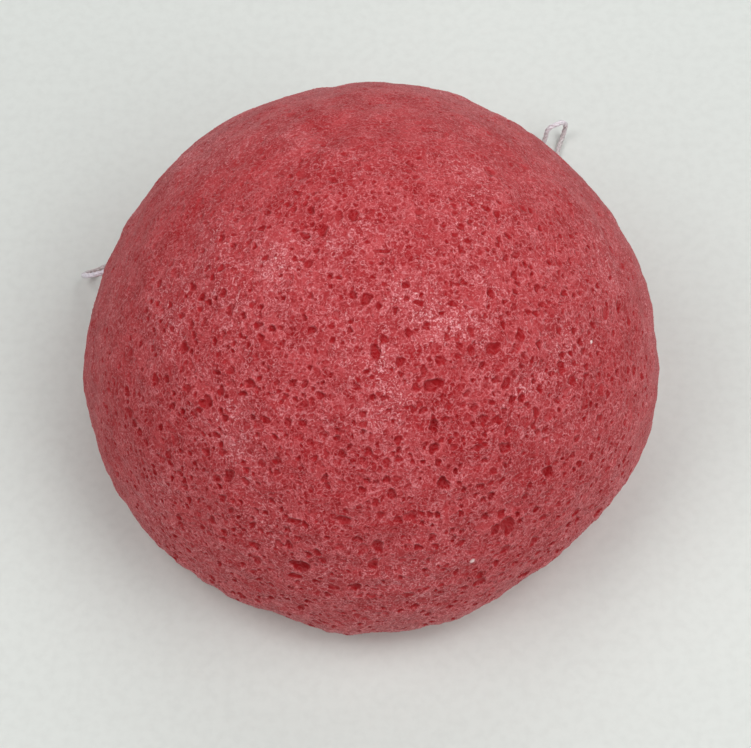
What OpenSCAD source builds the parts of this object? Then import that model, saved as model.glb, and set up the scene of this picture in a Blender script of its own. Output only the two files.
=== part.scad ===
// Half-ball face sponge of konjac foam, with a knotted cotton hanging string.
// Millimetres, +Z up. The origin is the centre of the flat face that the sponge stands on.
// The string runs through the back of the sponge, and its free part lies on the table behind it.

/* [Sponge] */
// Diameter at the widest level
sponge_d = 80; // [70:1:90]
// Radius of the moulded edge between the half ball and the flat face
edge_round = 8; // [6:0.5:11]

/* [Pores] */
// Diameter of the largest open pores
pore_d = 2.8; // [1.6:0.1:3.2]
// Diameter of the smallest pores that are modelled
pore_min_d = 1.6; // [1:0.1:1.6]
// Number of pores in the dome
dome_pores = 130; // [20:5:150]
// Number of pores round the moulded edge
edge_pores = 30; // [6:1:40]
// Number of pores in the flat face
face_pores = 36; // [6:1:40]

/* [String] */
// Diameter of the twisted cotton string
string_d = 0.8; // [0.6:0.05:1]
// Gap between the string and the foam of its channel
channel_gap = 0.1; // [0.05:0.05:0.2]
// Height of the channel above the flat face
channel_h = 7; // [4:0.5:8]
// Distance of the channel from the axis of the dome
channel_off = 25.4; // [18:0.2:28]
// Direction of the channel in plan, in degrees from the X axis
channel_turn = 14; // [0:1:25]
// How far the string stands out of the foam before it bends
channel_stub = 0.7; // [0.5:0.1:1.5]

/* [Knot] */
// Diameter over the turns of the knot
knot_d = 3; // [2.4:0.1:3.6]
// Length of the knot along its strands
knot_l = 3.6; // [3:0.1:4.5]
// Distance between the two strands where they enter and leave the knot
strand_pitch = 1; // [0.85:0.05:1.2]

/* [Hidden] */

ball_r = sponge_d / 2;
face_r = ball_r - edge_round;
string_r = string_d / 2;

// Outline of the half ball, its round edge and its flat face
module sponge_outline() {
    intersection() {
        translate([0, edge_round]) circle(ball_r, $fn = 180);
        translate([0, edge_round]) square(ball_r);
    }
    intersection() {
        translate([face_r, edge_round]) circle(edge_round, $fn = 64);
        translate([face_r, 0]) square(edge_round);
    }
    square([face_r, edge_round]);
}

// Pores are balls sunk into the skin, spread by the golden angle and a little scatter
golden_turn = 137.508;
scatter_seed = 7;
turn_scatter = 3;
height_scatter_share = 0.012;
pore_low_share = 0.085;
pore_high_share = 0.97;
pore_sink_share = 0.22;
size_step = 5;
size_cycle = 17;
most_pores = 200;
turn_noise = rands(-turn_scatter, turn_scatter, most_pores, scatter_seed);
height_noise = rands(-height_scatter_share, height_scatter_share, most_pores, scatter_seed + 1);

function pore_turn(i) = i * golden_turn + turn_noise[i];
function pore_r(i) =
    (pore_min_d + (pore_d - pore_min_d) * pow((i * size_step % size_cycle) / size_cycle, 2)) / 2;

// One pore under a skin that lies at a distance along +Z from here
module pore(i, skin) {
    r = pore_r(i);
    translate([0, 0, skin - r * pore_sink_share]) sphere(r, $fn = 32);
}

module dome_pores() {
    for (i = [0:dome_pores - 1]) {
        height = pore_low_share + (pore_high_share - pore_low_share) * (i + 0.5) / dome_pores
            + height_noise[i];
        translate([0, 0, edge_round]) rotate([0, acos(height), pore_turn(i)]) pore(i, ball_r);
    }
}

// The edge has two staggered rows of pores below its widest level
edge_rows = [112, 130];
module edge_pores() {
    for (i = [0:edge_pores - 1])
        rotate([0, 0, (i + 0.5) * 360 / edge_pores + turn_noise[i]])
            translate([face_r, 0, edge_round]) rotate([0, edge_rows[i % 2], 0]) pore(i, edge_round);
}

module face_pores() {
    reach = face_r - pore_d;
    for (i = [1:face_pores])
        rotate([0, 0, pore_turn(i)]) translate([reach * sqrt(i / face_pores), 0, 0])
            rotate([180, 0, 0]) pore(i, 0);
}

// The channel is a straight chord of the foam, behind the axis and level with the table
channel_mouth_r = face_r + sqrt(pow(edge_round, 2) - pow(edge_round - channel_h, 2));
channel_half_l = sqrt(pow(channel_mouth_r, 2) - pow(channel_off, 2)) + channel_stub;

module along_channel() {
    rotate([0, 0, channel_turn]) translate([0, channel_off, channel_h]) rotate([0, 90, 0]) children();
}

module sponge_body() {
    color("indianred") difference() {
        rotate_extrude($fn = 180) sponge_outline();
        dome_pores();
        edge_pores();
        face_pores();
        along_channel() cylinder(h = sponge_d, r = string_r + channel_gap, center = true, $fn = 48);
    }
}

module string_in_channel() {
    color("ghostwhite") along_channel()
        cylinder(h = 2 * channel_half_l, r = string_r, center = true, $fn = 48);
}

// Where the string leaves the foam on one side, -1 or 1, and a point further along its line
channel_line = [cos(channel_turn), sin(channel_turn), 0];
function channel_end(side, past) =
    [-channel_off * sin(channel_turn), channel_off * cos(channel_turn), channel_h]
    + channel_line * side * (channel_half_l + past);
straight_l = 2 * string_d;

// The knot lies on the table behind the sponge, with its strands along X
knot_at = [0, 45.8, knot_d / 2];
function knot_mouth(end, strand, past) =
    knot_at + [end * (knot_l / 2 + past), strand * strand_pitch / 2, 0];

// Free route on the left, from the foam down to the table and round the back to the knot
left_route = [
    channel_end(-1, 0), channel_end(-1, straight_l),
    [-40.1, 16.4, 6.6], [-41.3, 16.8, 5.6], [-42.1, 17.6, 4.3], [-42.5, 18.4, 3], [-42.5, 19.2, 1.9],
    [-42.1, 20, 1.1], [-41.3, 20.6, 0.6], [-40.2, 21.2, 0.5], [-39, 22, 0.5], [-37.7, 23.3, 0.5],
    [-36.2, 25.1, 0.5], [-34.3, 27.1, 0.5], [-32, 29, 0.5], [-29.8, 31, 0.5], [-28.1, 33.3, 0.5],
    [-26.2, 35.3, 0.5], [-23.8, 36.9, 0.5], [-21.3, 38.5, 0.5], [-19.1, 40.4, 0.5], [-16.8, 42.3, 0.5],
    [-14.2, 44.1, 0.5], [-11.6, 45.7, 0.5], [-8.8, 46.8, 0.5], [-6, 46.9, 0.6], [-4.2, 46.5, 1.1],
    knot_mouth(-1, 1, straight_l / 2), knot_mouth(-1, 1, 0)
];

// Free route on the right, out to a small bight that stands up beside the sponge, then back to the knot
right_route = [
    channel_end(1, 0), channel_end(1, straight_l),
    [27.7, 33.3, 6.3], [28.9, 34.2, 4.9], [29.4, 35.4, 3.3], [29.4, 36.8, 1.8], [29.2, 38.4, 0.8],
    [29.1, 40.2, 0.5], [29.2, 41.8, 0.5], [29.6, 43.3, 0.5], [30.1, 44.7, 0.7], [30.4, 45.5, 1.6],
    [30.4, 45.6, 2.7], [29.9, 45.3, 3.6], [29.1, 44.8, 3.9], [28.2, 44.5, 3.7], [27.5, 44.2, 2.9],
    [27.3, 43.8, 1.5], [26.9, 43.3, 0.8], [26.1, 42.3, 0.5], [24.8, 41, 0.5], [22.9, 40.1, 0.5],
    [20.6, 39.6, 0.5], [18.3, 39.7, 0.5], [16, 40.4, 0.5], [13.8, 41.2, 0.5], [11.4, 41.8, 0.5],
    [9, 42, 0.5], [6.5, 41.8, 0.5], [4, 41.5, 0.5], [1.5, 41.3, 0.5], [-1, 41.3, 0.5],
    [-3.5, 41.3, 0.5], [-6, 41.2, 0.5], [-8, 41.1, 0.5], [-9.6, 41.2, 0.5], [-11.1, 41.9, 0.5],
    [-11.7, 43.3, 0.5], [-11.1, 44.7, 0.5], [-9.6, 45.4, 0.5], [-8, 45.4, 0.5], [-6.2, 45.3, 0.6],
    [-4.2, 45.3, 1.1], knot_mouth(-1, -1, straight_l / 2), knot_mouth(-1, -1, 0)
];

// Loose ends past the knot
tail_routes = [
    [knot_mouth(1, 1, 0), knot_mouth(1, 1, straight_l / 2),
        [4.4, 46.6, 0.9], [6.2, 47.2, 0.5], [8, 48.2, 0.5], [9.3, 49.4, 0.5]],
    [knot_mouth(1, -1, 0), knot_mouth(1, -1, straight_l / 2),
        [4.4, 44.9, 0.9], [6.2, 44.6, 0.5], [8, 44.8, 0.5], [9.8, 45.4, 0.5]]
];

// Tube of the string's diameter swept along a route, one ring at each of its points
ring_sides = 8;
function unit(v) = v / norm(v);
function heading(route, i) =
    unit((i == 0 ? [0, 0, 0] : unit(route[i] - route[i - 1]))
        + (i == len(route) - 1 ? [0, 0, 0] : unit(route[i + 1] - route[i])));
function string_ring(route, i) =
    let (ahead = heading(route, i), side = unit(cross([0, 0, 1], ahead)), over = cross(ahead, side))
    [for (k = [0:ring_sides - 1]) let (a = (k + 0.5) * 360 / ring_sides)
        route[i] + string_r * (cos(a) * side + sin(a) * over)];

module string_along(route) {
    last = len(route) - 1;
    points = [for (i = [0:last]) each string_ring(route, i)];
    walls = [for (i = [0:last - 1], k = [0:ring_sides - 1])
        let (a = i * ring_sides + k, b = i * ring_sides + (k + 1) % ring_sides)
        each [[a, b + ring_sides, b], [a, a + ring_sides, b + ring_sides]]];
    ends = [[for (k = [0:ring_sides - 1]) k],
        [for (k = [ring_sides - 1:-1:0]) last * ring_sides + k]];
    polyhedron(points = points, faces = concat(walls, ends), convexity = 6);
}

module string_left() {
    color("ghostwhite") string_along(left_route);
}

module string_right() {
    color("ghostwhite") string_along(right_route);
}

// The knot is a tight barrel whose turns stand out as rounded ridges
knot_turns = 3;
module knot_outline() {
    turn_w = knot_l / knot_turns;
    square([knot_d / 2 - string_r, knot_l]);
    for (i = [0:knot_turns - 1])
        translate([knot_d / 2 - turn_w / 2, (i + 0.5) * turn_w]) circle(turn_w / 2, $fn = 32);
}

module string_knot() {
    color("ghostwhite") {
        translate(knot_at - [knot_l / 2, 0, 0]) rotate([0, 90, 0]) rotate_extrude($fn = 64) knot_outline();
        for (route = tail_routes) string_along(route);
    }
}

sponge_body();
string_in_channel();
string_left();
string_right();
string_knot();
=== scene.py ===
import itertools
import math

import bmesh
import bpy
import numpy as np
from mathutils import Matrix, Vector, kdtree


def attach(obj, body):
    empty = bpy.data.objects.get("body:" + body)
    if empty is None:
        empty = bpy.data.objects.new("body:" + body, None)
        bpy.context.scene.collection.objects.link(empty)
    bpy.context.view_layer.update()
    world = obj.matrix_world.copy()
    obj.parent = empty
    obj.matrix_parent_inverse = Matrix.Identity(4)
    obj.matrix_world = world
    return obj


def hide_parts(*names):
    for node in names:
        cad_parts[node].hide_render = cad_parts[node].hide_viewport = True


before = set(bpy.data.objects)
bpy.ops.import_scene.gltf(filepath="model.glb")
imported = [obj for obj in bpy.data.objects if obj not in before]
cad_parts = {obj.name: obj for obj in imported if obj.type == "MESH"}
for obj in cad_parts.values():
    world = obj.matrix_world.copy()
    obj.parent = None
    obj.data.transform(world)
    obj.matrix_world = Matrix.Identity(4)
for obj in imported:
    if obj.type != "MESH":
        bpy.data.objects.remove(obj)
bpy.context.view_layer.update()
mm = 0.001
scene = bpy.context.scene

# Camera: over the front edge of the table, looking down at the crown

picture = {"width": 751, "height": 748}
cameraSet = {
    "place": (0.0, -150.0, 277.8),
    "aim": (0.75, -5.16, 15.0),
    "focalPixels": 2166,
    "sensor": 36,
    "nearest": 0.01,  # in metres
}


def makeCamera():
    lens = bpy.data.cameras.new("photoCamera")
    lens.sensor_width = cameraSet["sensor"]
    lens.lens = cameraSet["focalPixels"] / picture["width"] * cameraSet["sensor"]
    lens.clip_start = cameraSet["nearest"]
    eye = bpy.data.objects.new("photoCamera", lens)
    place, aim = (Vector(cameraSet[key]) * mm for key in ("place", "aim"))
    eye.location = place
    eye.rotation_euler = (aim - place).to_track_quat("-Z", "Y").to_euler()
    scene.collection.objects.link(eye)
    scene.camera = eye


makeCamera()
print("camera set")

# String: the routes of the construction, in millimetres, tied behind the sponge

channel = {"height": 7, "offset": 25.4, "turn": 14, "stub": 0.7, "ballRadius": 40, "edgeRound": 8}
knot = {"place": (0, 45.8, 1.5), "length": 3.6, "pitch": 1}
twine = {
    "diameter": 0.8,
    "plies": 3,
    "plyShare": 0.54,  # thickness of a ply against the string
    "lay": 2.6,  # length of one turn of the plies
    "step": 0.16,
    "pathStep": 0.5,  # a coarser step
    "sides": 7,
    "hairs": 5,  # for each millimetre
    "hairLength": 0.55,
    "hairShortest": 0.3,  # share of that length
    "hairThickness": 0.018,
    "hairSides": 4,
    "hairRoot": 0.4,  # how far out it starts, against the diameter
    "hairLift": 0.55,
    "hairLean": (0.3, 1),  # along the string
    "hairBend": 0.5,
}


def channelEnd(side, past):
    turn = math.radians(channel["turn"])
    low = channel["edgeRound"] - channel["height"]
    mouth = channel["ballRadius"] - channel["edgeRound"] + math.sqrt(channel["edgeRound"] ** 2 - low ** 2)
    half = math.sqrt(mouth ** 2 - channel["offset"] ** 2) + channel["stub"]
    along = Vector((math.cos(turn), math.sin(turn), 0))
    middle = Vector((-math.sin(turn), math.cos(turn), 0)) * channel["offset"]
    return tuple(middle + along * side * (half + past) + Vector((0, 0, channel["height"])))


def knotMouth(end, strand, past):
    x, y, z = knot["place"]
    return (x + end * (knot["length"] / 2 + past), y + strand * knot["pitch"] / 2, z)


straight = 2 * twine["diameter"]
leftRoute = [
    channelEnd(-1, 0), channelEnd(-1, straight),
    (-40.1, 16.4, 6.6), (-41.3, 16.8, 5.6), (-42.1, 17.6, 4.3), (-42.5, 18.4, 3), (-42.5, 19.2, 1.9),
    (-42.1, 20, 1.1), (-41.3, 20.6, 0.6), (-40.2, 21.2, 0.5), (-39, 22, 0.5), (-37.7, 23.3, 0.5),
    (-36.2, 25.1, 0.5), (-34.3, 27.1, 0.5), (-32, 29, 0.5), (-29.8, 31, 0.5), (-28.1, 33.3, 0.5),
    (-26.2, 35.3, 0.5), (-23.8, 36.9, 0.5), (-21.3, 38.5, 0.5), (-19.1, 40.4, 0.5), (-16.8, 42.3, 0.5),
    (-14.2, 44.1, 0.5), (-11.6, 45.7, 0.5), (-8.8, 46.8, 0.5), (-6, 46.9, 0.6), (-4.2, 46.5, 1.1),
    knotMouth(-1, 1, straight / 2), knotMouth(-1, 1, 0),
]
rightRoute = [
    channelEnd(1, 0), channelEnd(1, straight),
    (27.7, 33.3, 6.3), (28.9, 34.2, 4.9), (29.4, 35.4, 3.3), (29.4, 36.8, 1.8), (29.2, 38.4, 0.8),
    (29.1, 40.2, 0.5), (29.2, 41.8, 0.5), (29.6, 43.3, 0.5), (30.1, 44.7, 0.7), (30.4, 45.5, 1.6),
    (30.4, 45.6, 2.7), (29.9, 45.3, 3.6), (29.1, 44.8, 3.9), (28.2, 44.5, 3.7), (27.5, 44.2, 2.9),
    (27.3, 43.8, 1.5), (26.9, 43.3, 0.8), (26.1, 42.3, 0.5), (24.8, 41, 0.5), (22.9, 40.1, 0.5),
    (20.6, 39.6, 0.5), (18.3, 39.7, 0.5), (16, 40.4, 0.5), (13.8, 41.2, 0.5), (11.4, 41.8, 0.5),
    (9, 42, 0.5), (6.5, 41.8, 0.5), (4, 41.5, 0.5), (1.5, 41.3, 0.5), (-1, 41.3, 0.5),
    (-3.5, 41.3, 0.5), (-6, 41.2, 0.5), (-8, 41.1, 0.5), (-9.6, 41.2, 0.5), (-11.1, 41.9, 0.5),
    (-11.7, 43.3, 0.5), (-11.1, 44.7, 0.5), (-9.6, 45.4, 0.5), (-8, 45.4, 0.5), (-6.2, 45.3, 0.6),
    (-4.2, 45.3, 1.1), knotMouth(-1, -1, straight / 2), knotMouth(-1, -1, 0),
]
heldRoute = [channelEnd(-1, 0), channelEnd(1, 0)]
tailRoutes = {
    1: [(4.4, 46.6, 0.9), (6.2, 47.2, 0.5), (8, 48.2, 0.5), (9.3, 49.4, 0.5)],
    -1: [(4.4, 44.9, 0.9), (6.2, 44.6, 0.5), (8, 44.8, 0.5), (9.8, 45.4, 0.5)],
}
# each strand goes through the middle of the knot, winds back round both and leaves through the middle:
# distance along the knot and out from its middle, and degrees round it
windingSteps = 12
knotWinding = [(-1, 0.32, 0), (-0.2, 0.32, 0), (0.7, 0.36, 0), (1.15, 0.75, 30)]
knotWinding += [(1 - 2 * i / windingSteps, 1.1, 65 + 410 * i / windingSteps)
                for i in range(windingSteps + 1)]
knotWinding += [(-1.15, 0.75, 510), (-0.7, 0.36, 540), (0.1, 0.32, 540), (1, 0.36, 540)]


def knotStrand(strand):
    x, y, z = knot["place"]
    winding = []
    for along, out, degrees in knotWinding:
        turn = math.radians(90 * strand + degrees)
        winding.append((x + along, y + out * math.sin(turn), z + out * math.cos(turn)))
    return [knotMouth(-1, strand, 0), *winding, knotMouth(1, -strand, 0),
            knotMouth(1, -strand, straight / 2), *tailRoutes[-strand]]


def smoothLine(route, step):
    points = np.array(route, float)
    ends = np.vstack([2 * points[0] - points[1], points, 2 * points[-1] - points[-2]])
    line = []
    for a, b, c, d in zip(ends, ends[1:], ends[2:], ends[3:]):
        count = max(2, round(np.linalg.norm(c - b) / step))
        for t in np.linspace(0, 1, count, endpoint=False):
            line.append(0.5 * (2 * b + (c - a) * t + (2 * a - 5 * b + 4 * c - d) * t ** 2
                               + (3 * b - a - 3 * c + d) * t ** 3))
    return np.array(line + [points[-1]])


def alongLine(line):
    return np.concatenate([[0], np.cumsum(np.linalg.norm(np.diff(line, axis=0), axis=1))])


def lineFrames(line):
    ahead = np.gradient(line, axis=0)
    ahead /= np.linalg.norm(ahead, axis=1)[:, None]
    side = np.cross(ahead[0], (0, 0, 1))
    sides = []
    for t in ahead:
        side = side - t * (side @ t)
        side = side / np.linalg.norm(side)
        sides.append(side)
    sides = np.array(sides)
    return ahead, sides, np.cross(ahead, sides)


def tubeMesh(name, lines, radius, sides):
    shape = bpy.data.curves.new(name, "CURVE")
    shape.dimensions = "3D"
    shape.bevel_mode = "ROUND"
    shape.bevel_depth = radius * mm
    shape.bevel_resolution = max(0, (sides - 4) // 2)  # 0 gives four sides
    shape.use_fill_caps = True
    for line in lines:
        spline = shape.splines.new("POLY")
        spline.points.add(len(line) - 1)
        spline.points.foreach_set("co", np.column_stack([line * mm, np.ones(len(line))]).ravel())
    holder = bpy.data.objects.new(name, shape)
    scene.collection.objects.link(holder)
    mesh = bpy.data.meshes.new_from_object(holder.evaluated_get(bpy.context.evaluated_depsgraph_get()))
    bpy.data.objects.remove(holder)
    mesh.name = name
    return mesh


def addMesh(bm, mesh):
    bm.from_mesh(mesh)
    bpy.data.meshes.remove(mesh)


def asMesh(name, bm):
    mesh = bpy.data.meshes.new(name)
    bm.to_mesh(mesh)
    bm.free()
    return mesh


def placeMesh(name, mesh, smooth=True):
    mesh.polygons.foreach_set("use_smooth", [smooth] * len(mesh.polygons))
    mesh.update()
    piece = bpy.data.objects.new(name, mesh)
    scene.collection.objects.link(piece)
    return piece


def looseHair(middle, ahead, side, over, rng):
    turn = rng.uniform(0, 2 * np.pi)
    lift = np.cos(turn) * side + np.sin(turn) * over
    lean = ahead * rng.choice([-1, 1]) * rng.uniform(*twine["hairLean"])
    root = middle + lift * twine["diameter"] * twine["hairRoot"]
    long = twine["hairLength"] * rng.uniform(twine["hairShortest"], 1)
    bend = np.cross(lift, lean) * rng.uniform(-twine["hairBend"], twine["hairBend"])
    away = lift * twine["hairLift"] + lean
    hair = np.array([root + away * long * s + bend * long * s * s for s in (0, 0.5, 1)])
    hair[:, 2] = np.maximum(hair[:, 2], twine["hairThickness"])
    return hair


def spunString(name, routes, seed):
    rng = np.random.default_rng(seed)
    thick = twine["diameter"] * twine["plyShare"]
    out = (twine["diameter"] - thick) / 2
    plies, hairs = [], []
    for route in routes:
        line = smoothLine(route, twine["step"])
        ahead, side, over = lineFrames(line)
        run = alongLine(line)
        for ply in range(twine["plies"]):
            turn = 2 * np.pi * (run / twine["lay"] + ply / twine["plies"])
            plies.append(line + out * (np.cos(turn)[:, None] * side + np.sin(turn)[:, None] * over))
        for _ in range(round(run[-1] * twine["hairs"])):
            at = rng.integers(1, len(line) - 1)
            hairs.append(looseHair(line[at], ahead[at], side[at], over[at], rng))
    bm = bmesh.new()
    addMesh(bm, tubeMesh(name, plies, thick / 2, twine["sides"]))
    addMesh(bm, tubeMesh(name, hairs, twine["hairThickness"] / 2, twine["hairSides"]))
    return placeMesh(name, asMesh(name, bm))


stringLeft = spunString("stringLeft", [leftRoute], 11)
stringRight = spunString("stringRight", [rightRoute], 12)
stringHeld = spunString("stringHeld", [heldRoute], 13)
stringKnot = spunString("stringKnot", [knotStrand(1), knotStrand(-1)], 14)
for piece, node in ((stringLeft, "string_left"), (stringRight, "string_right"),
                    (stringHeld, "string_in_channel"), (stringKnot, "string_knot")):
    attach(piece, "root")
    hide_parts(node)
print("string laid")

# Sponge: a dense ball drawn down to the half ball, its edge and its flat face, then opened into pores

foam = {
    "radius": 40,
    "edge": 8,
    "cells": 216,  # squares along one side of the starting cube
    "quickCells": 110,
    "fineAbove": -0.3,  # height on the unit ball above which the skin is made twice as fine
    "outlineFocus": 4,  # how closely the lumps keep to the outline that the camera sees
    "ripple": 0.12,
    "rippleWaves": 28,
    "rippleLengths": (3.5, 16),
    "crumple": 0.05,
    "crumpleWaves": 40,
    "crumpleLengths": (1.2, 3.4),
    "crumpleLeast": 0.2,
    "crumpleOutline": 0.8,  # what it gains at the outline, most of all at the near edge
    "crumpleNear": (0.3, 0.1),  # how far up the picture that goes, and what is left beyond
    "flatBelow": 2,  # the lumps die out over this height above the flat face
    "grain": 0.027,
    "fleckHeight": 0.25,
    "fleckFill": 2,  # how fast a fleck fills the pores under it
    "seed": 5,
}
ballCentre = np.array((0, 0, foam["edge"]))
# lumps of the hand-made edge: direction in the picture, height and breadth in degrees
lumps = [
    (6, 0.62, 14), (20, 0.25, 8), (108, -0.2, 12), (156, -0.35, 8), (180, 0.4, 8), (234, -0.4, 10),
    (252, -0.45, 7), (264, 0.4, 4), (300, -0.9, 7), (314, -1.1, 9), (326, -0.6, 6), (348, 0.45, 7),
]


def denseBall():
    cells = foam["cells"]
    bm = bmesh.new()
    bmesh.ops.create_cube(bm, size=2)
    bmesh.ops.subdivide_edges(bm, edges=bm.edges[:], cuts=cells // 2 * 2 - 1, use_grid_fill=True)
    upper = [f for f in bm.faces if f.calc_center_median().normalized().z > foam["fineAbove"]]
    fine = {e for f in upper for e in f.edges}
    bmesh.ops.subdivide_edges(bm, edges=list(fine), cuts=1, use_grid_fill=True)
    bmesh.ops.triangulate(bm, faces=[f for f in bm.faces if len(f.verts) > 4])
    return asMesh("sponge", bm)


def vertexPlaces(mesh):
    places = np.empty(len(mesh.vertices) * 3, np.float32)
    mesh.vertices.foreach_get("co", places)
    return places.reshape(-1, 3).astype(float)


def ontoOutline(cube):
    flat = np.tan(np.clip(cube, -1, 1) * np.pi / 4)
    ball = flat / np.linalg.norm(flat, axis=1)[:, None]
    radius, edge = foam["radius"], foam["edge"]
    face = radius - edge
    down = np.clip(-np.arcsin(np.clip(ball[:, 2], -1, 1)), 0, None)
    reach = down / (np.pi / 2) * (face + edge * np.pi / 2)  # along the outline, below the widest level
    bend = np.clip(reach / edge, 0, np.pi / 2)
    onEdge, onFace = face + edge * np.cos(bend), face + edge * np.pi / 2 - reach
    across = np.where(bend < np.pi / 2, onEdge, onFace)
    plan = ball[:, :2] / np.maximum(np.linalg.norm(ball[:, :2], axis=1), 1e-9)[:, None]
    low = ball[:, 2:] < 0
    places = np.where(low, np.column_stack([plan * across[:, None], edge - edge * np.sin(bend)]),
                      ball * radius + ballCentre)
    normals = np.where(low, np.column_stack([plan * np.cos(bend)[:, None], -np.sin(bend)]), ball)
    return places, normals


def pictureFrame():
    eye, aim = (np.array(cameraSet[key]) for key in ("place", "aim"))
    ahead = (aim - eye) / np.linalg.norm(aim - eye)
    right = np.array((1.0, 0, 0))  # the camera's slight turn to the side is left out
    return eye, ahead, right, np.cross(right, ahead)


def waves(places, count, lengths, rng):
    total = np.zeros(len(places))
    for _ in range(count):
        wave = rng.normal(0, 1, 3)
        wave *= 2 * np.pi / rng.uniform(*lengths) / np.linalg.norm(wave)
        total += np.sin(places @ wave + rng.uniform(0, 2 * np.pi))
    return total * math.sqrt(2 / count)


def lumpy(places, normals, rng):
    _, _, right, up = pictureFrame()
    high, across = normals @ up, normals @ right
    turn = np.degrees(np.arctan2(high, across))
    outline = np.hypot(high, across) ** foam["outlineFocus"]
    lift = np.zeros(len(places))
    for middle, height, breadth in lumps:
        off = (turn - middle + 180) % 360 - 180
        lift += height * outline * np.exp(-(off / breadth) ** 2 / 2)
    lift += foam["ripple"] * waves(places, foam["rippleWaves"], foam["rippleLengths"], rng)
    crumple = foam["crumple"] * waves(places, foam["crumpleWaves"], foam["crumpleLengths"], rng)
    reach, beyond = foam["crumpleNear"]
    near = np.clip(reach - high, beyond, 1)
    lift += crumple * (foam["crumpleLeast"] + foam["crumpleOutline"] * outline * near)
    lift *= np.clip(places[:, 2] / foam["flatBelow"], 0, 1)
    return places + normals * lift[:, None]


# the cells are open on the front side, and less so low down behind
openSides = {
    "front": (0.1, -0.8, 0.6),
    "frontRamp": (0.06, 0.78),
    "back": (0, 0.48, -0.88),
    "backRamp": (-0.22, 0.13),
    "backMost": 0.7,
    "least": 0.18,
}


def eased(values, low, high):
    share = np.clip((values - low) / (high - low), 0, 1)
    return share * share * (3 - 2 * share)


def openness(normals):
    front, back = (np.array(openSides[key]) for key in ("front", "back"))
    opened = eased(normals @ (front / np.linalg.norm(front)), *openSides["frontRamp"])
    behind = eased(normals @ back, *openSides["backRamp"])
    return np.maximum(np.maximum(opened, openSides["backMost"] * behind), openSides["least"])


def pictureSpot(x, y):
    eye, ahead, right, up = pictureFrame()
    ray = ahead * cameraSet["focalPixels"]
    ray = ray + right * (x - picture["width"] / 2) + up * (picture["height"] / 2 - y)
    ray /= np.linalg.norm(ray)
    middle = ray @ (ballCentre - eye)
    gap = foam["radius"] ** 2 - np.sum((eye + ray * middle - ballCentre) ** 2)
    spot = eye + ray * (middle - math.sqrt(max(gap, 0)))
    return spot, np.linalg.norm(spot - eye) / cameraSet["focalPixels"]  # and the size of a pixel there


# the holes that the string goes in by, in millimetres
channelMouth = {
    "along": 3.4,
    "over": 2.4,
    "depth": 4.2,
    "shift": 0.8,  # how far along the string the mouth lies inside the skin's crossing
}


def channelPore(side):
    spot = np.array(channelEnd(side, -channel["stub"]))
    along = np.array(channelEnd(side, 0)) - spot
    along /= np.linalg.norm(along)
    normal = spot - along * channelMouth["shift"] - ballCentre
    normal /= np.linalg.norm(normal)
    along -= normal * (along @ normal)
    return {"spot": ballCentre + normal * np.linalg.norm(spot - ballCentre), "normal": normal,
            "side": along / np.linalg.norm(along), "a": channelMouth["along"] / 2,
            "b": channelMouth["over"] / 2, "depth": channelMouth["depth"], "share": 1}


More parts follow.
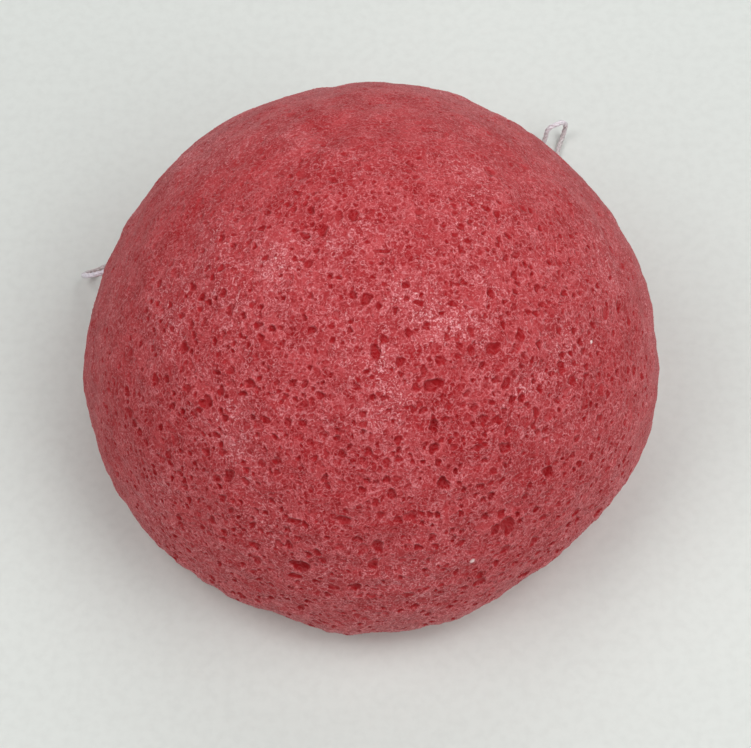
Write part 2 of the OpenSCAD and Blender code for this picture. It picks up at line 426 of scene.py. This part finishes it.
# the largest pores of the photograph: place, width and height in its pixels, and depth against width
photoPores = [
    (433, 385, 18, 14, 0.5), (400, 362, 9, 12, 0.5), (440, 361, 11, 11, 0.3), (424, 371, 8, 11, 0.35),
    (454, 374, 12, 12, 0.12), (447, 338, 7, 8, 0.35), (457, 338, 6, 8, 0.25), (471, 351, 10, 10, 0.3),
    (474, 344, 6, 5, 0.7), (419, 303, 11, 7, 0.35), (453, 304, 9, 7, 0.4), (427, 326, 9, 8, 0.4),
    (396, 310, 7, 7, 0.8), (384, 339, 9, 10, 0.4), (493, 349, 14, 15, 0.3), (520, 336, 10, 13, 0.3),
    (516, 348, 9, 12, 0.15), (482, 366, 6, 8, 0.7), (497, 367, 9, 11, 0.2), (506, 384, 9, 12, 0.35),
    (512, 400, 7, 9, 0.5), (521, 399, 7, 10, 0.5), (491, 403, 7, 6, 0.5), (504, 411, 7, 6, 0.5),
    (416, 388, 10, 9, 0.3), (384, 398, 8, 7, 0.5), (423, 411, 9, 8, 0.4), (434, 426, 11, 11, 0.7),
    (434, 449, 11, 11, 0.5), (483, 420, 11, 10, 0.35), (497, 420, 9, 10, 0.35), (468, 418, 8, 9, 0.2),
    (454, 448, 9, 7, 0.3), (476, 448, 12, 7, 0.4), (536, 413, 8, 9, 0.35), (363, 432, 6, 6, 0.8),
    (443, 484, 12, 13, 0.7), (492, 471, 8, 8, 0.35), (477, 468, 9, 9, 0.15), (548, 473, 12, 11, 0.55),
    (502, 481, 7, 7, 0.35), (518, 479, 10, 9, 0.2), (491, 497, 8, 8, 0.6), (437, 515, 6, 6, 0.8),
    (508, 527, 15, 19, 0.4), (495, 531, 10, 11, 0.35), (537, 512, 7, 7, 0.5), (529, 525, 9, 6, 0.15),
    (517, 491, 12, 13, 0.12), (432, 537, 9, 7, 0.4), (452, 531, 7, 5, 0.6), (460, 545, 13, 6, 0.35),
    (505, 551, 11, 9, 0.35), (536, 545, 9, 11, 0.3), (299, 566, 19, 14, 0.65), (294, 576, 15, 6, 0.4),
    (377, 547, 13, 12, 0.5), (362, 549, 11, 12, 0.25), (372, 565, 12, 11, 0.3), (354, 586, 12, 9, 0.55),
    (293, 521, 14, 7, 0.45), (343, 520, 16, 8, 0.4), (388, 571, 9, 10, 0.12), (254, 545, 10, 8, 0.35),
    (332, 587, 11, 7, 0.3), (230, 309, 9, 11, 0.25), (258, 324, 10, 7, 0.5), (272, 328, 7, 8, 0.7),
    (261, 337, 8, 9, 0.4), (267, 345, 13, 9, 0.12), (243, 315, 6, 7, 0.7), (217, 372, 7, 6, 0.7),
    (156, 379, 8, 11, 0.3), (221, 390, 7, 11, 0.4), (249, 383, 10, 11, 0.45), (243, 393, 8, 6, 0.7),
    (188, 387, 8, 9, 0.3), (183, 410, 6, 6, 0.8), (224, 417, 8, 7, 0.5), (252, 417, 6, 6, 0.8),
    (131, 411, 10, 10, 0.3), (266, 419, 10, 7, 0.4), (312, 211, 9, 8, 0.6), (340, 216, 9, 10, 0.3),
    (382, 218, 9, 10, 0.2), (444, 226, 7, 7, 0.4), (462, 250, 7, 9, 0.5), (464, 282, 9, 7, 0.5),
    (384, 251, 18, 5, 0.35), (309, 263, 8, 9, 0.4), (411, 164, 7, 8, 0.35), (312, 330, 10, 9, 0.5),
    (350, 330, 7, 7, 0.6), (292, 383, 8, 8, 0.5), (322, 560, 8, 7, 0.4), (407, 594, 11, 7, 0.35),
]


def placedPores():
    _, _, right, up = pictureFrame()
    pores = []
    for x, y, wide, tall, share in photoPores:
        spot, pixel = pictureSpot(x, y)
        normal = (spot - ballCentre) / foam["radius"]
        side = right - normal * (right @ normal)
        over = up - normal * (up @ normal)
        pores.append({"spot": spot, "normal": normal, "side": side / np.linalg.norm(side),
                      "a": wide * pixel / 2 / np.linalg.norm(side),
                      "b": tall * pixel / 2 / np.linalg.norm(over),
                      "depth": share * math.sqrt(wide * tall) * pixel, "share": share})
    return pores + [channelPore(side) for side in (-1, 1)]


# the other pores by width of mouth in millimetres: how many, narrowest and widest, and their shallowest
# and deepest share
poreSizes = [
    {"count": 260, "least": 1.25, "most": 1.9, "shallow": 0.1, "deep": 0.45},
    {"count": 1500, "least": 0.9, "most": 1.25, "shallow": 0.1, "deep": 0.5},
    {"count": 3200, "least": 0.5, "most": 0.9, "shallow": 0.1, "deep": 0.6},
]
poreSpread = {
    "tries": 4,  # for each pore
    "spacing": 1.0,  # least distance between two pores against their mean width
    "oval": 0.3,  # how much narrower than long a mouth may be
    "domeAbove": 4,
    "dome": (0.55, 0.45),  # how likely a place is, and what openness adds
    "faceBelow": 0.01,
    "face": 3.0,
    "share": (0.3, 0.7),  # how much of its depth share a pore keeps, and what openness adds
    "cell": 3.0,  # of the grid that finds neighbours
}


def poreLikelihood(places, opened):
    least, more = poreSpread["dome"]
    likely = np.where(places[:, 2] > poreSpread["domeAbove"], least + more * opened, 1.0)
    likely[places[:, 2] < poreSpread["faceBelow"]] = poreSpread["face"]
    return likely / likely.sum()


def scatterPores(places, normals, rng):
    taken = {}

    def gridCell(spot):
        return (spot // poreSpread["cell"]).astype(int)

    def take(spot, width):
        taken.setdefault(tuple(gridCell(spot)), []).append((*spot, width))

    def crowded(spot, width):
        i, j, k = gridCell(spot)
        for key in itertools.product((i - 1, i, i + 1), (j - 1, j, j + 1), (k - 1, k, k + 1)):
            for x, y, z, other in taken.get(key, ()):
                away = (spot[0] - x) ** 2 + (spot[1] - y) ** 2 + (spot[2] - z) ** 2
                if away < (poreSpread["spacing"] * (width + other) / 2) ** 2:
                    return True
        return False

    pores = placedPores()
    for pore in pores:
        take(pore["spot"], 2 * math.sqrt(pore["a"] * pore["b"]))
    opened = openness(normals)
    likely = poreLikelihood(places, opened)
    least, more = poreSpread["share"]
    for size in poreSizes:
        tries = rng.choice(len(places), size["count"] * poreSpread["tries"], p=likely)
        widths = rng.uniform(size["least"], size["most"], len(tries))
        kept = 0
        for at, width in zip(tries, widths):
            if crowded(places[at], width):
                continue
            take(places[at], width)
            side = np.cross(normals[at], rng.normal(0, 1, 3))
            share = rng.uniform(size["shallow"], size["deep"]) * (least + more * opened[at])
            pores.append({"spot": places[at], "normal": normals[at], "side": side / np.linalg.norm(side),
                          "a": width / 2, "b": width / 2 * rng.uniform(1 - poreSpread["oval"], 1),
                          "depth": share * width, "share": share})
            kept += 1
            if kept == size["count"]:
                break
        print("  pores to", size["most"], "mm:", kept)
    return pores


poreShape = {
    "deepening": 0.5,  # depth in the mesh against the depth that a pore is given
    "floor": 3,  # a higher power flattens the floor
    "wall": 0.7,  # a lower power steepens the wall
    "wave": (0.14, 0.1, 0.06),  # of the mouth's outline, in two, three and four crests
    "widening": 1.25,  # room for those crests
    "lip": 0.035,
    "lipWidth": 0.09,
    "reach": 0.35,  # how far outside its mouth a pore marks the skin
}


def mouthDistance(pore, places, rng):
    away = places - pore["spot"]
    x = away @ pore["side"] / pore["a"]
    y = away @ np.cross(pore["normal"], pore["side"]) / pore["b"]
    angle = np.arctan2(y, x)
    turns = rng.uniform(0, 2 * np.pi, len(poreShape["wave"]))
    wave = 1 + sum(height * np.sin((k + 2) * angle + turn)
                   for k, (height, turn) in enumerate(zip(poreShape["wave"], turns)))
    return np.hypot(x, y) / wave  # 1 at the mouth


def openPores(places, normals, rng):
    tree = kdtree.KDTree(len(places))
    for i, p in enumerate(places):
        tree.insert(p, i)
    tree.balance()
    depth = np.zeros(len(places))
    edge = np.full(len(places), poreShape["reach"])
    tone = np.zeros(len(places))
    for pore in scatterPores(places, normals, rng):
        a, b = pore["a"], pore["b"]
        found = tree.find_range(pore["spot"], max(a, b) * poreShape["widening"] + poreShape["reach"])
        if not found:
            continue
        at = np.array([f[1] for f in found])
        out = mouthDistance(pore, places[at], rng)
        bowl = np.clip(1 - out ** poreShape["floor"], 0, 1) ** poreShape["wall"]
        depth[at] = np.maximum(depth[at], poreShape["deepening"] * pore["depth"] * bowl)
        gap = (out - 1) * math.sqrt(a * b)
        nearer = gap < edge[at]
        edge[at[nearer]] = gap[nearer]
        tone[at[nearer]] = pore["share"]
    return depth, edge, tone, raisedFlecks(places, tree)


# pale flecks on the skin, first a crumb lying on it, then a raised spot painted as a highlight: place and
# width in the photograph's pixels
flecks = [(472, 562, 6), (591, 343, 3.5)]


def raisedFlecks(places, tree):
    raised = np.zeros(len(places))
    for x, y, wide in flecks:
        spot, pixel = pictureSpot(x, y)
        for _, at, far in tree.find_range(spot, wide * pixel):
            raised[at] = max(raised[at], 1 - far / (wide * pixel))
    return raised


# painted light and shade: where the skin is painted palest, as glitter in the light, and where it is
# painted dull, as shade: place and breadth in the photograph's pixels, and strength
glitterShadePatches = [
    (435, 320, 18, 1.0), (405, 295, 16, 0.9), (380, 365, 14, 0.9), (495, 285, 14, 0.8), (465, 325, 13, 0.7),
    (570, 345, 15, 0.8), (400, 390, 13, 0.7), (475, 180, 16, 0.7), (280, 260, 15, 0.7), (525, 390, 13, 0.7),
    (460, 235, 15, 0.6), (350, 370, 11, 0.5), (385, 415, 13, 0.5), (545, 435, 14, 0.6), (305, 350, 13, 0.4),
    (225, 440, 14, 0.45), (170, 330, 16, 0.4), (600, 250, 16, 0.45),
    (370, 500, 34, -1.0), (370, 115, 50, -0.9), (300, 170, 40, -0.5), (450, 440, 25, -0.4),
]
# painted glitter where the photograph doesn't show: breadth in millimetres, and least height above the
# table
hiddenGlitterPatches = {"count": 16, "least": 1.6, "most": 3.4, "strength": 0.8, "above": 3, "seed": 21}


def glitterAndShade(places, normals):
    rng = np.random.default_rng(hiddenGlitterPatches["seed"])
    patches = []
    for x, y, wide, strength in glitterShadePatches:
        spot, pixel = pictureSpot(x, y)
        patches.append((spot, wide * pixel, strength))
    behind = normals @ np.array(openSides["back"]) > 0
    hidden = np.flatnonzero(behind & (places[:, 2] > hiddenGlitterPatches["above"]))
    for at in rng.choice(hidden, hiddenGlitterPatches["count"]):
        patches.append((places[at], rng.uniform(hiddenGlitterPatches["least"], hiddenGlitterPatches["most"]),
                        hiddenGlitterPatches["strength"]))
    pale = np.zeros(len(places))
    for spot, wide, strength in patches:
        share = strength * np.exp(-np.sum((places - spot) ** 2, axis=1) / (2 * wide ** 2))
        pale = np.where(np.abs(share) > np.abs(pale), share, pale)
    return pale


def foamSponge():
    rng = np.random.default_rng(foam["seed"])
    mesh = denseBall()
    places, normals = ontoOutline(vertexPlaces(mesh))
    skin = lumpy(places, normals, rng)
    print("  vertices", len(places), "faces", len(mesh.polygons))
    depth, edge, tone, fleck = openPores(skin, normals, rng)
    lift = poreShape["lip"] * np.exp(-(edge / poreShape["lipWidth"]) ** 2)
    grain = rng.normal(0, 1, len(places)) * foam["grain"]
    depth *= 1 - np.clip(fleck * foam["fleckFill"], 0, 1)
    moved = skin + normals * (lift - depth + grain + foam["fleckHeight"] * fleck)[:, None]
    moved[:, 2] = np.maximum(moved[:, 2], 0)
    mesh.vertices.foreach_set("co", (moved * mm).ravel())
    marks = {"poreEdge": edge, "poreTone": tone, "openness": openness(normals), "fleck": fleck,
             "glitterAndShade": glitterAndShade(skin, normals)}
    for name, values in marks.items():
        mesh.attributes.new(name, "FLOAT", "POINT").data.foreach_set("value", values.astype(np.float32))
    return placeMesh("sponge", mesh)


sponge = foamSponge()
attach(sponge, "root")
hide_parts("sponge_body")
print("sponge made")

# Materials


class Nodes:
    def __init__(self, name):
        self.material = bpy.data.materials.new(name)
        self.material.use_nodes = True
        self.tree = self.material.node_tree
        self.tree.nodes.clear()

    def add(self, kind, inputs=None, **settings):
        node = self.tree.nodes.new(kind)
        for key, value in settings.items():
            setattr(node, key, value)
        for key, value in (inputs or {}).items():
            if isinstance(value, bpy.types.NodeSocket):
                self.tree.links.new(value, node.inputs[key])
            else:
                node.inputs[key].default_value = value
        return node

    def math(self, operation, a, b=0.0):
        return self.add("ShaderNodeMath", {0: a, 1: b}, operation=operation).outputs[0]

    def plus(self, a, b):
        return self.math("ADD", a, b)

    def minus(self, a, b):
        return self.math("SUBTRACT", a, b)

    def times(self, a, b):
        return self.math("MULTIPLY", a, b)

    def most(self, a, b):
        return self.math("MAXIMUM", a, b)

    def ramp(self, value, low, high, toLow=0.0, toHigh=1.0):
        return self.add("ShaderNodeMapRange", {0: value, 1: low, 2: high, 3: toLow, 4: toHigh},
                        clamp=True).outputs[0]

    def band(self, value, middle, reach):
        return self.ramp(self.math("ABSOLUTE", self.minus(value, middle)), 0.0, reach, 1.0, 0.0)

    def mix(self, share, a, b):
        return self.add("ShaderNodeMix", {0: share, 6: a, 7: b}, data_type="RGBA").outputs[2]

    def place(self):
        return self.add("ShaderNodeTexCoord").outputs["Object"]

    def height(self, place):
        return self.add("ShaderNodeSeparateXYZ", {0: place}).outputs["Z"]

    def attribute(self, name):
        return self.add("ShaderNodeAttribute", attribute_name=name).outputs["Fac"]

    def noise(self, place, scale, detail, output="Fac"):
        node = self.add("ShaderNodeTexNoise", {"Vector": place, "Scale": scale, "Detail": detail})
        return node.outputs[output]

    def vector(self, operation, inputs):
        return self.add("ShaderNodeVectorMath", inputs, operation=operation).outputs[0]

    def bent(self, place, scale, reach):
        noise = self.noise(place, scale, 1.0, "Color")
        centred = self.vector("SUBTRACT", {0: noise, 1: (0.5, 0.5, 0.5)})
        return self.vector("ADD", {0: place, 1: self.vector("SCALE", {0: centred, "Scale": reach})})

    def finish(self, shader):
        out = self.add("ShaderNodeOutputMaterial")
        self.tree.links.new(shader.outputs[0], out.inputs["Surface"])
        return self.material


def colour(r, g, b):
    return (*[((c / 255 + 0.055) / 1.055) ** 2.4 if c > 10 else c / 255 / 12.92 for c in (r, g, b)], 1)


foamLook = {
    "colours": {
        "film": colour(165, 33, 38),
        "filmPale": colour(190, 69, 73),
        # dim: painted shade in the fine hollows, and random dark grain
        "dim": colour(144, 12, 18),
        "wall": colour(225, 121, 126),
        "frostGlitter": colour(246, 178, 184),
        "glint": colour(252, 222, 220),
        # painted shade in the pores: shallow, deep and pit floors
        "shallow": colour(169, 37, 42),
        "deep": colour(152, 20, 26),
        "pit": colour(130, 10, 15),
        # painted light on the lower edge
        "lowEdgeLight": colour(218, 145, 145),
    },
    # cells too fine for the mesh: cells in a metre, widest cell and wall as shares, strength of hollow
    # and wall
    "cells": [
        {"scale": 620.0, "widest": 0.6, "wall": 0.1, "hollow": 0.6, "pale": 0.65},
        {"scale": 1150.0, "widest": 0.62, "wall": 0.13, "hollow": 0.85, "pale": 0.85},
        {"scale": 1900.0, "widest": 0.64, "wall": 0.17, "hollow": 0.95, "pale": 0.95},
    ],
    # how the cells differ by their three random shares
    "cellShape": {
        "narrowest": 0.5,  # against the widest cell
        "slope": 2,  # breadth of a hollow's side against its wall
        "wallOut": 0.4,  # how far outside the hollow its wall stands, against its own breadth
        "hollowShare": (0.2, 0.95),
        "paleShare": (0.1, 0.9),
        "paleLeast": 0.05,
        "brightShare": (0.55, 0.95),
        "wallOverHollow": 0.6,  # how far a finer wall hides a coarser hollow
        "hollowOverWall": 0.7,
    },
    # noises: scale and detail
    "grain": {
        "fine": (4200.0, 2.0),
        "rough": (1500.0, 3.0),
        "wisp": (560.0, 2.0),
        "mottle": (270.0, 3.0),
        "patch": (85.0, 4.0),
    },
    # bends of the space that the cells lie in: scale, and reach in metres
    "bends": [(330.0, 0.0016), (1300.0, 0.0005)],
    # where what a ramp reads starts and ends, and what it gives there
    "ramps": {
        "mottle": (0.33, 0.66),
        "patch": (0.2, 0.8, 0.33, 0.63),
        "frostGlitter": (0.42, 0.66),
        "ragged": (0.25, 0.75, -0.12, 0.12),
        "poreInside": (-0.12, 0.06, 1.0, 0.0),
        "poreTone": (0.08, 0.3, 0.25, 1.0),
        "poreOpen": (0.0, 0.6, 0.45, 1.0),
        "poreDeep": (0.12, 0.6),
        "rimGrain": (0.38, 0.6, 0.0, 0.7),
        "rimOpen": (0.0, 0.6, 0.25, 1.0),
        "wispGrain": (0.42, 0.62, 0.0, 0.9),
        "wallGrain": (0.34, 0.58, 0.25, 1.0),
        "brightGrain": (0.4, 0.58),
        "speckGrain": (0.53, 0.63),
        "speckPatch": (0.54, 0.72, 0.06, 0.5),
        "dimGrain": (0.45, 0.35, 0.0, 0.3),
        "lowEdgeLightHeight": (0.01, 0.002),
        "lowEdgeLightGrain": (0.35, 0.65, 0.3, 0.65),
        "glintGrain": (0.66, 0.72),
        "glintPatch": (0.45, 0.62, 0.15, 0.8),
        "fleck": (0.35, 0.6, 0.0, 0.9),
    },
    # strengths; where there are two, the second is what openness or the painted glitter of frostGlitter
    # adds
    "shares": {
        "glitterAndShade": 0.2,
        "frostGlitter": 0.15,
        "hollow": (0.22, 0.78),
        "wall": (0.3, 0.6),
        "bright": (0.25, 0.75),
        "pit": 0.8,
        "poreWall": 0.35,
        "glint": 0.8,
        "grainHeight": 0.5,
        "hollowDepth": 0.6,
        "rimHeight": 0.4,
    },
    "rim": {"middle": 0.14, "reach": 0.1},  # in millimetres outside the mouth of a pore
    "wisp": {"middle": 0.5, "reach": 0.022},
    "bump": {"Distance": 0.00006, "Strength": 1.0},
    "skin": {
        "Roughness": 0.6,
        "IOR": 1.35,
        "Specular IOR Level": 0.08,
        "Sheen Weight": 0.3,
        "Sheen Roughness": 0.4,
        "Sheen Tint": (1.0, 0.82, 0.83, 1.0),
    },
}


def foamRamp(n, name, value):
    return n.ramp(value, *foamLook["ramps"][name])


def shareOf(n, name, mark):
    return n.times(mark, foamLook["shares"][name])


def growingShare(n, name, mark, by):
    least, more = foamLook["shares"][name]
    return n.times(mark, n.plus(least, n.times(by, more)))


def cellLayer(n, place, scale, widest, wall, hollow, pale):
    shape = foamLook["cellShape"]
    cell = n.add("ShaderNodeTexVoronoi", {"Vector": place, "Scale": scale}, feature="F1")
    shares = n.add("ShaderNodeSeparateColor", {0: cell.outputs["Color"]}).outputs
    size = n.ramp(shares[1], 0.0, 1.0, widest * shape["narrowest"], widest)
    out = n.minus(cell.outputs["Distance"], size)
    hole = n.ramp(out, -wall * shape["slope"], 0.0, 1.0, 0.0)
    ring = n.band(out, wall * shape["wallOut"], wall)
    return (n.times(hole, n.ramp(shares[0], *shape["hollowShare"], 0.0, hollow)),
            n.times(ring, n.ramp(shares[2], *shape["paleShare"], shape["paleLeast"], pale)),
            n.times(ring, n.ramp(shares[2], *shape["brightShare"])))


def cellLayers(n, place):
    shape = foamLook["cellShape"]
    coarsest, *finer = foamLook["cells"]
    hollow, walls, bright = cellLayer(n, place, **coarsest)
    for cells in finer:
        hole, wall, shine = cellLayer(n, place, **cells)
        shown = n.minus(1.0, n.times(wall, shape["wallOverHollow"]))
        hollow = n.most(n.times(hollow, shown), hole)
        shown = n.minus(1.0, n.times(hole, shape["hollowOverWall"]))
        walls = n.most(n.times(walls, shown), wall)
        bright = n.most(n.times(bright, n.minus(1.0, hole)), shine)
    return hollow, walls, bright


def foamMarks(n):
    grain = foamLook["grain"]
    place = n.place()
    bent = place
    for scale, reach in foamLook["bends"]:
        bent = n.bent(bent, scale, reach)
    fine, rough, patch = (n.noise(place, *grain[name]) for name in ("fine", "rough", "patch"))
    mottle, wisp = (n.noise(bent, *grain[name]) for name in ("mottle", "wisp"))
    # the painted glitter and shade patches raise and lower the pale patch
    patch = n.plus(foamRamp(n, "patch", patch), shareOf(n, "glitterAndShade", n.attribute("glitterAndShade")))
    # painted glitter: frostGlitter marks where the skin is painted pale and sparkling, as in the light
    frostGlitter = foamRamp(n, "frostGlitter", patch)
    hollow, walls, bright = cellLayers(n, bent)
    walls = n.times(walls, foamRamp(n, "wallGrain", rough))
    wisps = n.times(n.band(wisp, **foamLook["wisp"]), foamRamp(n, "wispGrain", rough))
    bright = n.times(bright, foamRamp(n, "brightGrain", fine))
    return {"height": n.height(place), "fine": fine, "rough": rough, "mottle": mottle, "patch": patch,
            "frostGlitter": frostGlitter, "hollow": hollow, "walls": n.most(walls, wisps),
            "bright": growingShare(n, "bright", bright, frostGlitter),
            "tone": n.attribute("poreTone"), "open": n.attribute("openness")}


def skinColour(n, marks):
    colours = foamLook["colours"]
    fine, opened = marks["fine"], marks["open"]
    base = n.mix(foamRamp(n, "mottle", marks["mottle"]), colours["film"], colours["filmPale"])
    # painted shade: the fine hollows of the cells are darkened with the dim colour
    base = n.mix(growingShare(n, "hollow", marks["hollow"], opened), base, colours["dim"])
    base = n.mix(shareOf(n, "frostGlitter", marks["frostGlitter"]), base, colours["wall"])
    base = n.mix(growingShare(n, "wall", marks["walls"], opened), base, colours["wall"])
    # bright cell walls: partly real pale walls, partly painted glitter that grows with frostGlitter
    base = n.mix(marks["bright"], base, colours["frostGlitter"])
    # painted glitter: pale specks in the glitter patches
    speck = n.times(foamRamp(n, "speckGrain", fine), foamRamp(n, "speckPatch", marks["patch"]))
    base = n.mix(speck, base, colours["frostGlitter"])
    base = n.mix(foamRamp(n, "dimGrain", fine), base, colours["dim"])
    # painted light: the skin is paler over the lowest 10 mm towards the table, standing in for light on the
    # pale fuzzy lower edge
    lowEdgeLight = n.times(foamRamp(n, "lowEdgeLightHeight", marks["height"]), foamRamp(n, "lowEdgeLightGrain", marks["rough"]))
    return n.mix(lowEdgeLight, base, colours["lowEdgeLight"])


# painted shade: pore floors are darker the deeper the pore, and darkest in the fine hollows
def poreColour(n, marks):
    colours = foamLook["colours"]
    base = n.mix(foamRamp(n, "poreDeep", marks["tone"]), colours["shallow"], colours["deep"])
    base = n.mix(shareOf(n, "pit", marks["hollow"]), base, colours["pit"])
    return n.mix(shareOf(n, "poreWall", marks["walls"]), base, colours["wall"])


def foamMaterial():
    n = Nodes("konjacFoam")
    colours = foamLook["colours"]
    marks = foamMarks(n)
    fine, opened = marks["fine"], marks["open"]
    gap = n.plus(n.attribute("poreEdge"), foamRamp(n, "ragged", marks["rough"]))
    inside = n.times(foamRamp(n, "poreInside", gap), foamRamp(n, "poreTone", marks["tone"]))
    inside = n.times(inside, foamRamp(n, "poreOpen", opened))
    outside = n.minus(1.0, inside)
    rim = n.times(foamRamp(n, "rimGrain", fine), foamRamp(n, "rimOpen", opened))
    rim = n.times(n.band(gap, **foamLook["rim"]), rim)
    base = n.mix(inside, skinColour(n, marks), poreColour(n, marks))
    base = n.mix(rim, base, colours["wall"])
    # painted highlights: pale glints scattered on the skin outside the pores, thickest in the glitter
    # patches
    glint = n.times(foamRamp(n, "glintGrain", fine), foamRamp(n, "glintPatch", marks["patch"]))
    base = n.mix(shareOf(n, "glint", n.times(glint, outside)), base, colours["glint"])
    # the flecks are painted in the glint colour: a real crumb, and a painted highlight
    base = n.mix(foamRamp(n, "fleck", n.attribute("fleck")), base, colours["glint"])

    height = n.minus(n.plus(marks["walls"], shareOf(n, "grainHeight", fine)),
                     shareOf(n, "hollowDepth", marks["hollow"]))
    height = n.plus(n.times(height, outside), shareOf(n, "rimHeight", rim))
    bump = n.add("ShaderNodeBump", {"Height": height, **foamLook["bump"]})
    return n.finish(n.add("ShaderNodeBsdfPrincipled", {
        "Base Color": base, "Normal": bump.outputs["Normal"], **foamLook["skin"],
    }))


cottonLook = {
    "shadedLying": (colour(186, 176, 174), colour(222, 213, 213)),  # painted shade: darkest and lightest fibres where the string lies low on the table
    "litLifted": (colour(226, 218, 228), colour(250, 244, 252)),  # painted light: paler fibres where the string is lifted beside the sponge
    "litLiftedHeight": (0.0004, 0.0055),
    "grain": (3500.0, 2.0),
    "grainRamp": (0.3, 0.7),
    "bump": {"Distance": 0.00005, "Strength": 0.5},
    "skin": {"Roughness": 0.8, "Sheen Weight": 0.3},
}


def cottonMaterial():
    n = Nodes("cottonString")
    place = n.place()
    grain = n.noise(place, *cottonLook["grain"])
    # painted shade and light: height alone paints the string greyer low on the table and paler higher up
    litLifted = n.ramp(n.height(place), *cottonLook["litLiftedHeight"])
    dark, light = (n.mix(litLifted, *pair) for pair in zip(cottonLook["shadedLying"], cottonLook["litLifted"]))
    shade = n.mix(n.ramp(grain, *cottonLook["grainRamp"]), dark, light)
    bump = n.add("ShaderNodeBump", {"Height": grain, **cottonLook["bump"]})
    return n.finish(n.add("ShaderNodeBsdfPrincipled", {
        "Base Color": shade, "Normal": bump.outputs["Normal"], **cottonLook["skin"],
    }))


def dress(piece, material):
    piece.data.materials.clear()
    piece.data.materials.append(material)


dress(sponge, foamMaterial())
cotton = cottonMaterial()
for piece in (stringLeft, stringRight, stringHeld, stringKnot):
    dress(piece, cotton)
print("materials set")

# Table, backdrop and light

studio = {
    "table": colour(221, 225, 221),
    "tableSpeck": colour(205, 208, 204),
    "speck": (700.0, 2.0),  # scale and detail
    "speckRamp": (0.4, 0.7, 0.0, 0.25),
    "tableRoughness": 0.6,
    "tableRadius": 1.2,
    "tableSides": 96,
    "tableDrop": 0.0001,  # below the flat face of the sponge
    "backdrop": colour(216, 221, 217),
    "sweep": (0.12, 0.45),  # where the table starts and ends to turn into the backdrop
    "room": (0.93, 0.97, 0.96, 1),
    "roomStrength": 0.03,
    "boxSize": 0.5,
    "boxFar": 0.78,
    # the softboxes: height and direction in degrees, power
    "boxes": [(60, 0, 2.1), (60, 180, 1.85), (40, 210, 1.15), (40, 300, 1.0), (40, 330, 1.25),
              (40, 60, 0.55), (40, 90, 1.05)],
}


def tableMaterial():
    n = Nodes("tableTop")
    place = n.place()
    speck = n.ramp(n.noise(place, *studio["speck"]), *studio["speckRamp"])
    shade = n.mix(speck, studio["table"], studio["tableSpeck"])
    skin = n.add("ShaderNodeBsdfPrincipled", {"Base Color": shade, "Roughness": studio["tableRoughness"]})
    far = n.add("ShaderNodeEmission", {"Color": studio["backdrop"], "Strength": 1.0})
    away = n.add("ShaderNodeVectorMath", {0: place}, operation="LENGTH").outputs["Value"]
    seen = n.add("ShaderNodeLightPath").outputs["Is Camera Ray"]
    sweep = n.times(seen, n.ramp(away, *studio["sweep"]))
    return n.finish(n.add("ShaderNodeMixShader", {0: sweep, 1: skin.outputs[0], 2: far.outputs[0]}))


def makeTable():
    bm = bmesh.new()
    bmesh.ops.create_circle(bm, cap_ends=True, segments=studio["tableSides"], radius=studio["tableRadius"])
    table = placeMesh("table", asMesh("table", bm), smooth=False)
    table.location.z = -studio["tableDrop"]
    dress(table, tableMaterial())


def makeWorld():
    world = bpy.data.worlds.new("softRoom")
    world.use_nodes = True
    tree = world.node_tree
    room = tree.nodes["Background"]
    room.inputs["Color"].default_value = studio["room"]
    room.inputs["Strength"].default_value = studio["roomStrength"]
    backdrop = tree.nodes.new("ShaderNodeBackground")
    backdrop.inputs["Color"].default_value = studio["backdrop"]
    seen = tree.nodes.new("ShaderNodeLightPath")
    both = tree.nodes.new("ShaderNodeMixShader")
    tree.links.new(seen.outputs["Is Camera Ray"], both.inputs[0])
    tree.links.new(room.outputs[0], both.inputs[1])
    tree.links.new(backdrop.outputs[0], both.inputs[2])
    tree.links.new(both.outputs[0], tree.nodes["World Output"].inputs["Surface"])
    scene.world = world


def makeSoftbox(height, turn, power):
    up, around = math.radians(height), math.radians(turn)
    place = Vector((math.cos(up) * math.cos(around), math.cos(up) * math.sin(around), math.sin(up)))
    place *= studio["boxFar"]
    lamp = bpy.data.lights.new("softbox", "AREA")
    lamp.shape = "DISK"
    lamp.size = studio["boxSize"]
    lamp.energy = power
    box = bpy.data.objects.new("softbox", lamp)
    box.location = place
    box.rotation_euler = (-place).to_track_quat("-Z", "Y").to_euler()
    scene.collection.objects.link(box)


makeTable()
makeWorld()
for box in studio["boxes"]:
    makeSoftbox(*box)
scene.view_settings.view_transform = "Standard"
print("studio set")
